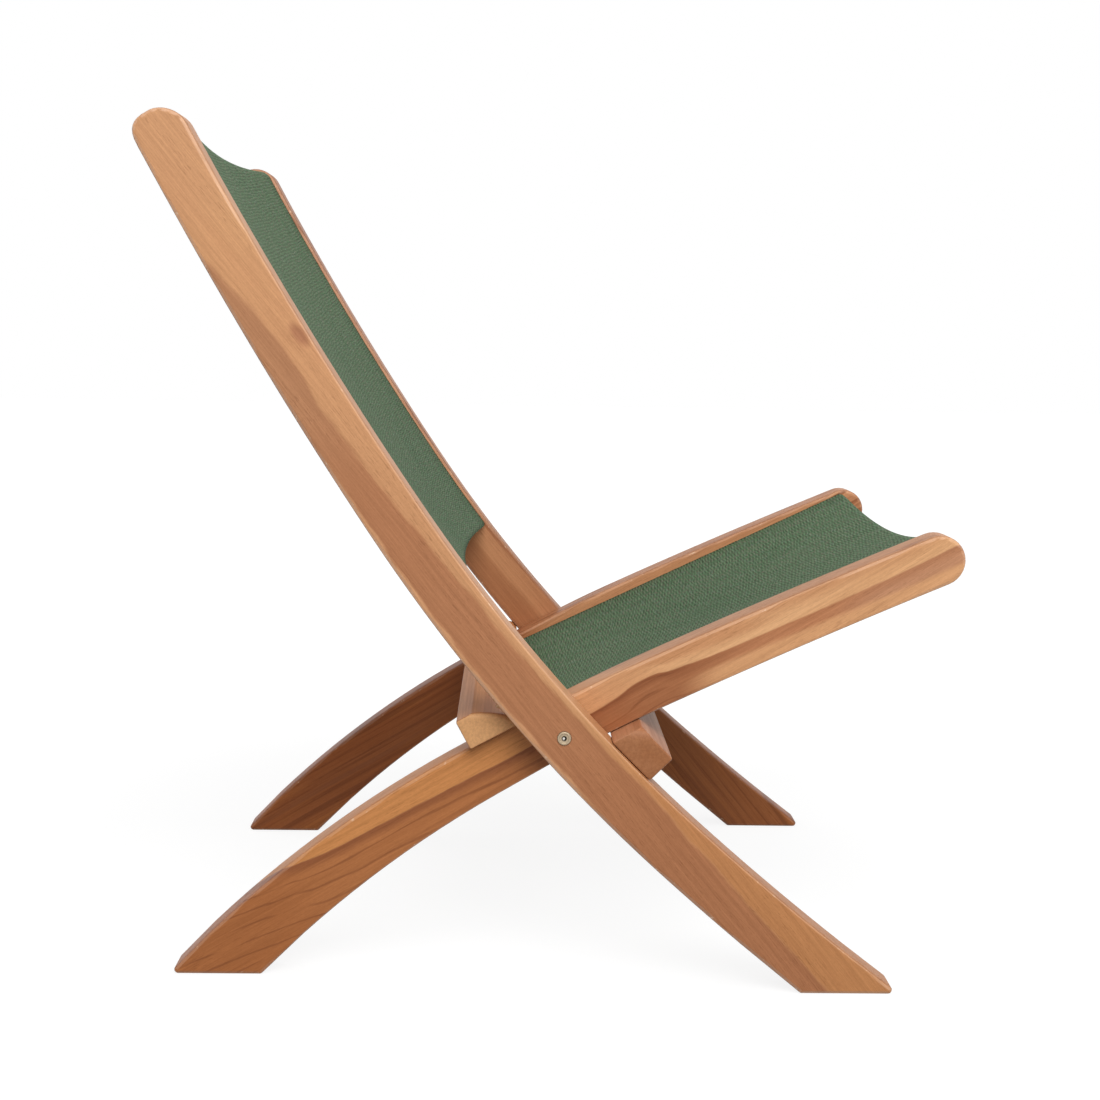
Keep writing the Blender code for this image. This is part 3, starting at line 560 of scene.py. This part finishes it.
def heartwood_and_shade_leg(tree, u, v, x, colour, tone):
    """A rail whose leg is painted dark, partly as brown heartwood and partly as painted shade
    under the slings, with darker streaks along the grain.
    """
    place = tree.math("ADD", u, waver(tree, u, v, x, 12, 60, 0.05))
    leg = tree.steps(place, *FAR_LEG_SPAN)
    colour = tree.mix(tree.math("MULTIPLY", leg, 0.85), colour, tone)
    streak = tree.noise(tree.combine(tree.math("MULTIPLY", u, 2.4),
                                     tree.math("MULTIPLY", v, 125), 7.0), 3, 0.55)
    streak = tree.math("MULTIPLY", tree.steps(streak, 0.50, 0.62), leg)
    colour = tree.mix(tree.math("MULTIPLY", streak, 0.50), colour, FAR_LEG_STREAK_TONE)
    pale = tree.noise(tree.combine(tree.math("MULTIPLY", u, 4.0),
                                   tree.math("MULTIPLY", v, 48), 19.0), 2, 0.5)
    pale = tree.math("MULTIPLY", tree.steps(pale, 0.52, 0.68), leg)
    return tree.mix(tree.math("MULTIPLY", pale, 0.40), colour, FAR_LEG_PALE_TONE)


def near_side(tree, x):
    """1 on the sitter's right, which faces the camera."""
    return tree.steps(x, *NEAR_SIDE)


def waver(tree, u, v, x, along, across, size):
    """A small uneven shift for the edge between two tones."""
    made = tree.noise(tree.combine(tree.math("MULTIPLY", u, along),
                                   tree.math("MULTIPLY", v, across),
                                   tree.math("MULTIPLY", x, 60)), 3, 0.6)
    return tree.math("MULTIPLY_ADD", made, 2 * size, -size)


def back_right_features(tree, u, v, x, colour):
    """Brown heartwood at the rear edge and down the leg, a paler strip along the rear rim,
    and one knot."""
    shift = waver(tree, u, v, x, 26, 90, 0.004)
    edge = tree.curve(u, BACK_HEART_EDGE, *BACK_CURVE_SPAN)
    past = tree.math("ADD", tree.math("SUBTRACT", v, edge), shift)
    heart = tree.steps(past, 0.0022, -0.0022)
    heart = tree.math("MULTIPLY", heart, tree.steps(u, *BACK_HEART_END_SPAN))
    lower = tree.steps(u, *BACK_LOWER_HEART_SPAN)
    tone = tree.mix(lower, HEART_TOP_TONE, HEART_MIDDLE_TONE)
    tone = tree.mix(tree.steps(u, *BACK_LEG_HEART_SPAN), tone, HEART_LEG_TONE)
    colour = tree.mix(tree.math("MULTIPLY", tree.steps(u, *BACK_TOP_SPAN), 0.7), colour,
                      BACK_TOP_TONE)
    colour = tree.mix(tree.math("MULTIPLY", heart, 0.95), colour, tone)
    leg = tree.math("MULTIPLY", tree.steps(u, *BACK_LEG_SAPWOOD_SPAN),
                    tree.math("SUBTRACT", 1.0, heart))
    colour = tree.mix(tree.math("MULTIPLY", leg, 0.85), colour, BACK_LEG_TONE)
    along = tree.math("SUBTRACT", u, REAR_EDGE_LOWEST)
    rise = tree.math("MULTIPLY", tree.math("MULTIPLY", along, along), REAR_EDGE_BEND)
    rim = tree.math("SUBTRACT", tree.math("ADD", v, REAR_EDGE_DEPTH), rise)
    rim = tree.steps(tree.math("ADD", rim, shift), 0.0064, 0.0032)
    rim = tree.math("MULTIPLY", rim, tree.steps(u, *RIM_REAR_SPAN))
    rim = tree.math("MULTIPLY", rim, tree.steps(u, *RIM_FRONT_SPAN))
    colour = tree.mix(tree.math("MULTIPLY", rim, 0.75), colour, BACK_RIM_TONE)
    du = tree.math("DIVIDE", tree.math("SUBTRACT", u, KNOT_ALONG), KNOT_LENGTH)
    dv = tree.math("DIVIDE", tree.math("SUBTRACT", v, KNOT_ACROSS), KNOT_WIDTH)
    far = tree.math("SQRT", tree.math("ADD", tree.math("MULTIPLY", du, du),
                                      tree.math("MULTIPLY", dv, dv)))
    far = tree.math("ADD", far, tree.math("MULTIPLY", shift, 60))
    knot = tree.math("MULTIPLY", tree.steps(far, *KNOT_FADE), near_side(tree, x))
    colour = tree.mix(tree.math("MULTIPLY", knot, 0.78), colour, KNOT_CORE_TONE)
    swirl = tree.math("MULTIPLY", tree.steps(far, *SWIRL_FADE), near_side(tree, x))
    swirl = tree.math("MULTIPLY", swirl, tree.steps(shift, -0.0012, 0.0016))
    return tree.mix(tree.math("MULTIPLY", swirl, 0.30), colour, KNOT_SWIRL_TONE)


def seat_right_features(tree, u, v, x, colour):
    """The dark heartwood band along the seat rail, its paler lower edge, and the dark leg."""
    shift = waver(tree, u, v, x, 22, 80, 0.0014)
    edge = tree.curve(u, SEAT_HEART_EDGE, *SEAT_CURVE_SPAN)
    past = tree.math("ADD", tree.math("SUBTRACT", v, edge), shift)
    past = tree.math("ADD", past, tree.math("MULTIPLY_ADD", x, HEART_SLANT,
                                            HEART_SLANT * SEAT_OUTER))
    heart = tree.steps(past, 0.0008, -0.0010)
    light = tree.math("SUBTRACT", 1.0, heart)
    outer = tree.math("MULTIPLY", tree.steps(past, 0.002, 0.012),
                      tree.steps(u, *SEAT_PALE_SPAN))
    outer = tree.math("MAXIMUM", outer, tree.steps(past, 0.003, 0.022))
    outer = tree.math("MAXIMUM", outer, tree.steps(u, *SEAT_FLARE_SPAN))
    outer = tree.math("MULTIPLY", outer, light)
    tone = tree.mix(tree.steps(u, *SEAT_SAPWOOD_SPAN), SEAT_SAPWOOD_FRONT_TONE,
                    SEAT_SAPWOOD_MIDDLE_TONE)
    colour = tree.mix(tree.math("MULTIPLY", outer, 0.85), colour, tone)
    rear = tree.steps(u, *SEAT_REAR_SPAN)
    colour = tree.mix(tree.math("MULTIPLY", tree.math("MULTIPLY", light, rear), 0.85), colour,
                      SEAT_SAPWOOD_REAR_TONE)
    front = tree.steps(u, *SEAT_FRONT_SPAN)
    tone = tree.mix(rear, SEAT_HEART_MIDDLE_TONE, SEAT_HEART_LEG_TONE)
    tone = tree.mix(tree.steps(u, *SEAT_FOOT_SPAN), tone, SEAT_HEART_FOOT_TONE)
    tone = tree.mix(front, tone, SEAT_HEART_FRONT_TONE)
    tone = tree.mix(tree.steps(u, *SEAT_TIP_SPAN), tone, SEAT_HEART_TIP_TONE)
    colour = tree.mix(tree.math("MULTIPLY", heart, 0.95), colour, tone)
    rim = tree.math("MULTIPLY", heart, tree.steps(past, -0.011, -0.0015))
    rim = tree.math("MULTIPLY", rim, tree.math("MULTIPLY_ADD", front, -0.30, 0.85))
    tone = tree.mix(front, SEAT_RIM_REAR_TONE, SEAT_RIM_FRONT_TONE)
    colour = tree.mix(rim, colour, tone)
    colour = leg_rings(tree, u, v, x, past, colour)
    low = tree.curve(u, SEAT_HEART_LOW, *SEAT_LOW_CURVE_SPAN)
    below = tree.math("ADD", tree.math("SUBTRACT", v, low), shift)
    below = tree.math("MULTIPLY", tree.steps(below, 0.0015, -0.0045),
                      tree.steps(u, *SEAT_LOW_SPAN))
    return tree.mix(tree.math("MULTIPLY", below, 0.9), colour, SEAT_LOW_TONE)


def leg_rings(tree, u, v, x, past, colour):
    """Thin dark growth lines in the heartwood near the pivot and down the leg."""
    place = tree.math("ADD", past, waver(tree, u, v, x, 5, 26, 0.009))
    ring = tree.math("PINGPONG", tree.math("ADD", place, 0.2), RING_SPACING)
    line = tree.steps(ring, 0.0013, 0.0003)
    gate = tree.noise(tree.combine(tree.math("MULTIPLY", u, 6), tree.math("MULTIPLY", v, 110),
                                   2.0), 2, 0.5)
    line = tree.math("MULTIPLY", line, tree.steps(gate, 0.36, 0.54))
    line = tree.math("MULTIPLY", line, tree.steps(past, 0.001, -0.004))
    line = tree.math("MULTIPLY", line, tree.steps(u, *RINGS_END_SPAN))
    return tree.mix(tree.math("MULTIPLY", line, 0.50), colour, GROWTH_LINE_TONE)


# Slings

def edge_path(node):
    """The sling's edge line in the y-z plane, from its CAD piece, and half its width."""
    places = np.array([v.co for v in node.data.vertices], float)
    reach = places[:, 0].max()
    rim = np.unique(np.round(places[places[:, 0] > reach - 1e-5][:, 1:], 6), axis=0)
    spread = rim - rim.mean(0)
    chord = np.linalg.svd(spread, full_matrices=False)[2][0]
    rim = rim[np.argsort(spread @ chord)]
    return (rim[0::2] + rim[1::2]) / 2, reach


def resampled(path, count):
    """The path at even distances, and its length."""
    steps = np.r_[0, np.cumsum(np.linalg.norm(np.diff(path, axis=0), axis=1))]
    wanted = np.linspace(0, steps[-1], count)
    return np.stack([np.interp(wanted, steps, path[:, k]) for k in (0, 1)], axis=1), steps[-1]


def make_sling(name, node_name, inner, sag, away, hems, material):
    """A woven sheet in the grooves of two rails, sagging between them, and its flat size.

    hems gives, for the path's first and last end, how far the hem reaches past the grooves
    beside the rails, and how far the pull draws it in at the middle. away points away from the
    side to which the sling sags."""
    node = NODES[node_name]
    path, reach = edge_path(node)
    line, length = resampled(path, PATH_POINTS)
    tangents = np.gradient(line, axis=0)
    tangents /= np.linalg.norm(tangents, axis=1)[:, None]
    normals = np.stack([-tangents[:, 1], tangents[:, 0]], axis=1)
    if normals.mean(0) @ np.array(away) > 0:
        normals = -normals
    across = inner * np.sin(np.linspace(-math.pi / 2, math.pi / 2, COLUMNS - 1))
    columns = np.r_[-reach, across, reach]
    vertices = []
    for j in range(ROWS + 1):
        for x in columns:
            turn = min(1.0, abs(x) / inner)
            first, last = (corner * (1 - turn ** HEM_SHARPNESS) - drawn * (1 - turn ** 2)
                           for corner, drawn in hems)
            distance = -first + (length + first + last) * j / ROWS
            at = distance / length * (len(line) - 1)
            low = max(0, min(int(at), len(line) - 2))
            share = at - low
            point = line[low] * (1 - share) + line[low + 1] * share
            normal = normals[low] * (1 - share) + normals[low + 1] * share
            drop = sag * max(0.0, 1 - (x / inner) ** 2)
            place = point + normal * drop
            vertices.append((x, place[0], place[1]))
    width = len(columns)
    faces = []
    for j in range(ROWS):
        for i in range(width - 1):
            first = j * width + i
            faces.append((first, first + 1, first + width + 1, first + width))
    mesh = bpy.data.meshes.new(name)
    mesh.from_pydata(vertices, [], faces)
    mesh.polygons.foreach_set("use_smooth", [True] * len(mesh.polygons))
    sling = bpy.data.objects.new(name, mesh)
    bpy.context.scene.collection.objects.link(sling)
    mesh.materials.append(material)
    body = sling.modifiers.new("thickness", "SOLIDIFY")
    body.thickness = SLING_THICKNESS
    body.offset = 0
    middle = np.array([(v[1], v[2]) for v in vertices]).reshape(ROWS + 1, width, 2)
    row = np.c_[columns, middle[ROWS // 2]]
    flat_width = float(np.linalg.norm(np.diff(row, axis=0), axis=1).sum())
    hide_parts(node_name)
    return sling, (flat_width, float(length))


WEAVE_GREEN = rgb(80, 105, 77)
WEAVE_GREY = rgb(100, 102, 86)
WEAVE_COOL = rgb(97, 114, 97)


def weave(name, along, pitch, slant, rib_length, depth, shade_fade, inner):
    """Coated yarn in an uneven weave: short ribs from side to side, each half a pitch off the
    next. Two places along the sling, with how much darker it is at each, give painted shade at one
    end and a little painted light at the other; it also has painted shade beside the rails, inner
    from the middle."""
    material, tree, shader = new_material(name)
    spot = from_pivot(tree)
    s = tree.vector("DOT_PRODUCT", spot, (0, math.cos(along), math.sin(along)), out=1)
    x = tree.part(spot, 0)

    def speckle(lengthwise, crosswise, shift):
        return tree.noise(tree.combine(tree.math("MULTIPLY", s, lengthwise),
                                       tree.math("MULTIPLY", x, crosswise), shift), 2, 0.6)

    sway = tree.math("MULTIPLY_ADD", speckle(24, 18, 33.0), 0.006, -0.003)
    jitter = tree.math("MULTIPLY_ADD", speckle(150, 85, 0.0), 0.0036, -0.0018)
    place = tree.math("ADD", tree.math("ADD", s, tree.math("MULTIPLY", x, slant)),
                      tree.math("ADD", sway, jitter))
    turn = tree.math("MULTIPLY", place, math.tau / pitch)
    wander = tree.math("MULTIPLY_ADD", speckle(90, 40, 51.0), 0.012, -0.006)
    side = tree.math("MULTIPLY", tree.math("ADD", x, wander), math.pi / rib_length)
    rib = tree.math("MULTIPLY", tree.math("SINE", turn), tree.math("COSINE", side))
    yarn_turn = tree.math("MULTIPLY", x, math.tau / YARN_PITCH)
    yarn = tree.math("MULTIPLY_ADD", tree.math("SINE", tree.math("ADD", yarn_turn, turn)),
                     0.5, 0.5)
    height = tree.math("MULTIPLY", tree.math("MULTIPLY_ADD", rib, 0.5, 0.5),
                       tree.math("MULTIPLY_ADD", yarn, 0.35, 0.65))
    fleck = speckle(430, 150, 4.0)
    cloud = speckle(9, 55, 9.0)
    share = tree.math("ADD", tree.steps(fleck, 0.44, 0.66),
                      tree.math("MULTIPLY_ADD", cloud, 0.7, -0.35), clamp=True)
    colour = tree.mix(share, WEAVE_GREEN, WEAVE_GREY)
    cool = tree.math("MULTIPLY", tree.steps(speckle(230, 80, 61.0), 0.52, 0.68), 0.55)
    colour = tree.mix(cool, colour, WEAVE_COOL)
    strength = tree.math("MULTIPLY_ADD", tree.steps(speckle(16, 40, 14.0), 0.30, 0.65),
                         0.55 * depth, 0.45 * depth)
    tone = tree.math("MULTIPLY_ADD", rib, strength,
                     tree.math("MULTIPLY_ADD", speckle(300, 75, 21.0), 0.62, 0.68))
    tone = tree.math("ADD", tone, tree.math("MULTIPLY_ADD", cloud, 0.28, -0.14))
    stroke = tree.math("MULTIPLY_ADD", speckle(320, 45, 77.0), 0.56, -0.28)
    streak = tree.math("MULTIPLY_ADD", speckle(11, 170, 40.0), 0.22, -0.11)
    tone = tree.math("ADD", tone, tree.math("ADD", stroke, streak))
    # Painted shade and light along the sling
    (first, dark_first), (last, dark_last) = shade_fade
    tone = tree.math("ADD", tone, tree.math("MULTIPLY_ADD", tree.steps(s, first, last),
                                            dark_first - dark_last, -dark_first))
    # Painted shade beside the rails
    beside = tree.steps(tree.math("ABSOLUTE", x), inner - RAIL_SHADE_WIDTH, inner)
    tone = tree.math("MULTIPLY_ADD", beside, -0.11, tone)
    colour = tree.mix(1.0, colour, tree.combine(tone, tone, tone), "MULTIPLY")
    tree.put(shader.inputs["Base Color"], colour)
    tree.put(shader.inputs["Roughness"], tree.math("MULTIPLY_ADD", fleck, 0.2, 0.66))
    shader.inputs["Specular IOR Level"].default_value = 0.08
    bump(tree, shader, height, *WEAVE_BUMP)
    return material


# Fittings

METAL_PALE_TONE = rgb(192, 174, 148)
METAL_DARK_TONE = rgb(146, 128, 104)
# Painted shade in the bolt's socket, and a painted glint on its floor
SOCKET_SHADE_TONE = rgb(54, 46, 36)
GLINT_TONE = rgb(244, 240, 232)


def brushed_metal(name):
    """Nickelled steel, turned, with faint rings, painted shade in its socket and a painted glint
    on the socket's floor.
    """
    material, tree, shader = new_material(name)
    spot = from_pivot(tree)
    flat = tree.vector("MULTIPLY", spot, (0, 1, 1))
    radius = tree.vector("LENGTH", flat, out=1)
    rings = tree.noise(tree.combine(tree.math("MULTIPLY", radius, 9000), 0.0, 0.0), 2)
    smear = tree.noise(tree.vector("MULTIPLY", spot, (900, 900, 900)), 3, 0.6)
    colour = tree.mix(smear, METAL_PALE_TONE, METAL_DARK_TONE)
    # Painted shade in the socket
    socket = tree.steps(radius, *SOCKET_RADIUS)
    colour = tree.mix(socket, colour, SOCKET_SHADE_TONE)
    # Painted glint on the socket's floor
    aside = tree.vector("SUBTRACT", flat, GLINT_PLACE)
    floor = tree.steps(tree.vector("LENGTH", aside, out=1), *GLINT_RADIUS)
    colour = tree.mix(floor, colour, GLINT_TONE)
    tree.put(shader.inputs["Base Color"], colour)
    shader.inputs["Metallic"].default_value = 0.85
    tree.put(shader.inputs["Roughness"], tree.math("MULTIPLY_ADD", smear, 0.2, 0.34))
    dish = tree.math("MULTIPLY_ADD", tree.steps(radius, *DISH_RADIUS), -0.6,
                     tree.steps(radius, *RIM_RADIUS))
    bump(tree, shader, tree.math("MULTIPLY_ADD", rings, 0.05, dish), *METAL_BUMP)
    return material


def plastic(name, tone):
    """Moulded nylon with a fine matt grain."""
    material, tree, shader = new_material(name)
    spot = tree.node("ShaderNodeTexCoord").outputs["Object"]
    grain = tree.noise(tree.vector("MULTIPLY", spot, (1800, 1800, 1800)), 2)
    colour = tree.mix(grain, tone, tuple(c * 0.8 for c in tone[:3]) + (1,))
    tree.put(shader.inputs["Base Color"], colour)
    tree.put(shader.inputs["Roughness"], tree.math("MULTIPLY_ADD", grain, 0.15, 0.45))
    bump(tree, shader, grain, *NYLON_BUMP)
    return material


# Smooth shading for the CAD pieces

def shading_group():
    """Geometry nodes that join a piece's split faces and shade its eased edges smoothly."""
    tree = bpy.data.node_groups.new("smooth_edges", "GeometryNodeTree")
    tree.interface.new_socket("Geometry", in_out="INPUT", socket_type="NodeSocketGeometry")
    tree.interface.new_socket("Geometry", in_out="OUTPUT", socket_type="NodeSocketGeometry")
    first = tree.nodes.new("NodeGroupInput")
    plain = tree.nodes.new("GeometryNodeRemoveAttribute")
    plain.inputs["Name"].default_value = "custom_normal"
    merge = tree.nodes.new("GeometryNodeMergeByDistance")
    merge.inputs["Distance"].default_value = MERGE_DISTANCE
    smooth = tree.nodes.new("GeometryNodeSetShadeSmooth")
    angle = tree.nodes.new("GeometryNodeInputMeshEdgeAngle")
    sharp = tree.nodes.new("FunctionNodeCompare")
    sharp.data_type = "FLOAT"
    sharp.operation = "GREATER_THAN"
    sharp.inputs[1].default_value = SHARP_ANGLE
    edges = tree.nodes.new("GeometryNodeSetShadeSmooth")
    edges.domain = "EDGE"
    edges.inputs["Shade Smooth"].default_value = False
    last = tree.nodes.new("NodeGroupOutput")
    link = tree.links.new
    link(first.outputs[0], plain.inputs[0])
    link(plain.outputs[0], merge.inputs[0])
    link(merge.outputs[0], smooth.inputs[0])
    link(angle.outputs[0], sharp.inputs[0])
    link(smooth.outputs[0], edges.inputs[0])
    link(sharp.outputs[0], edges.inputs["Selection"])
    link(edges.outputs[0], last.inputs[0])
    return tree


def dress(node, material):
    """Gives a CAD piece its material and smooth shading."""
    piece = NODES[node]
    if not piece.material_slots:
        piece.data.materials.append(material)
    for slot in piece.material_slots:
        slot.material = material
    modifier = piece.modifiers.new("smooth_edges", "NODES")
    modifier.node_group = SHADING
    modifier = piece.modifiers.new("flat_faces", "WEIGHTED_NORMAL")
    modifier.mode = "FACE_AREA"
    modifier.weight = 100
    modifier.keep_sharp = True


bpy.context.scene.view_settings.view_transform = "Standard"
make_camera()
make_stage()
make_world()
for lamp in LAMPS:
    make_lamp(*lamp)
SHADING = shading_group()

dress("back_rail_right", wood("back_right_wood", BACK_BOARD, 1, 1.7, rgb(208, 156, 111),
                              rgb(200, 146, 103), back_right_features))
dress("back_rail_left", wood("back_left_wood", BACK_BOARD, 1, 14.2, rgb(196, 140, 98),
                             rgb(176, 120, 82), back_left_features, streaks=0.7,
                             highlight_share=0.10))
dress("seat_rail_right", wood("seat_right_wood", SEAT_BOARD, -1, 23.9, rgb(224, 174, 127),
                              rgb(212, 160, 114), seat_right_features, streaks=0.35,
                              highlight_share=0.15))
dress("seat_rail_left", wood("seat_left_wood", SEAT_BOARD, -1, 31.3, rgb(200, 142, 100),
                             rgb(172, 114, 76), seat_left_features, streaks=0.8, highlight_share=0.10))
dress("front_stop_bar", bar_wood("front_bar_wood", 3.1, rgb(184, 132, 98),
                                 rgb(156, 101, 68), rgb(156, 101, 63)))
# The rear bar's end tone, paler than its sides, is end grain with painted light on the ends that
# face the lamps
dress("rear_stop_bar", bar_wood("rear_bar_wood", 8.6, rgb(184, 124, 78), rgb(160, 101, 60),
                                rgb(222, 170, 118)))
STRETCHER_TONES = (rgb(206, 152, 110), rgb(178, 120, 82), rgb(170, 114, 78))
dress("back_stretcher", bar_wood("back_stretcher_wood", 12.4, *STRETCHER_TONES))
dress("seat_stretcher", bar_wood("seat_stretcher_wood", 19.9, *STRETCHER_TONES))
PIN_WOOD = bar_wood("pin_wood", 27.7, rgb(222, 184, 138), rgb(200, 158, 112),
                    rgb(190, 146, 100))
METAL = brushed_metal("nickelled_steel")
NYLON = plastic("nylon", rgb(64, 66, 62))
for node_name in sorted(NODES):
    if "dowel" in node_name:
        dress(node_name, PIN_WOOD)
    elif "bolt" in node_name or "sleeve" in node_name:
        dress(node_name, METAL)
    elif "spline" in node_name or "washer" in node_name:
        dress(node_name, NYLON)

back_sheet, back_flat = make_sling(
    "back_sling_cloth", "back_sling", BACK_INNER, BACK_SAG, BACK_AWAY,
    BACK_HEMS,
    weave("back_weave", BACK_BOARD + BACK_WEAVE_TURN, pitch=0.0033, slant=0.08, rib_length=0.0095,
          depth=0.50, shade_fade=((0.20, 0.09), (0.58, -0.02)), inner=BACK_INNER))
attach(back_sheet, "back_frame")
seat_sheet, seat_flat = make_sling(
    "seat_sling_cloth", "seat_sling", SEAT_INNER, SEAT_SAG, SEAT_AWAY,
    SEAT_HEMS,
    weave("seat_weave", SEAT_BOARD + SEAT_WEAVE_TURN, pitch=0.0035, slant=-0.05, rib_length=0.0125,
          depth=0.50, shade_fade=((0.05, 0.05), (0.34, -0.03)), inner=SEAT_INNER))
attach(seat_sheet, "seat_frame")
